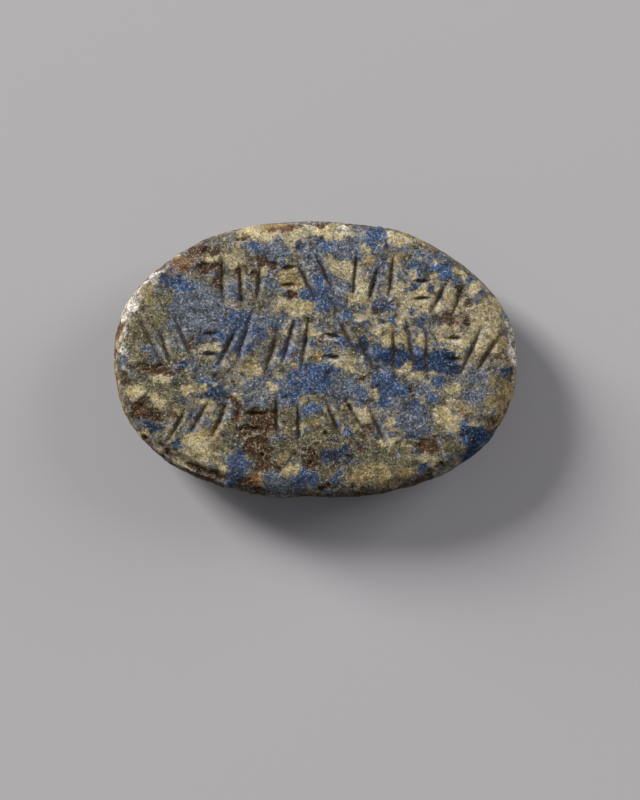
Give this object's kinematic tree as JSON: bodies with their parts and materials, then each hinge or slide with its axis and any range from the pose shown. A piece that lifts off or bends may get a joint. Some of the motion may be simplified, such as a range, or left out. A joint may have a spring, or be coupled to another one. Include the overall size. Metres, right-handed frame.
{
  "type": "engraved oval seal stone",
  "caption": "Flat oval seal stone of worn, speckled blue lapis with a rounded rim, a flat back and rows of shallow engraved strokes on its face.",
  "frame": {"origin": "middle of the flat back, which the stone lies on", "axes": "+X along the stone's long axis, towards the end of the rows, +Y across the face towards the first row, +Z out of the engraved face"},
  "size_m": [0.02, 0.0138, 0.0034],
  "materials": {
    "lapis": "worn lapis lazuli, blue mottled with cream calcite and brown earth stains, matte with fine glints"
  },
  "bodies": {
    "root": {"engraved_stone": "lapis"}
  },
  "joints": []
}
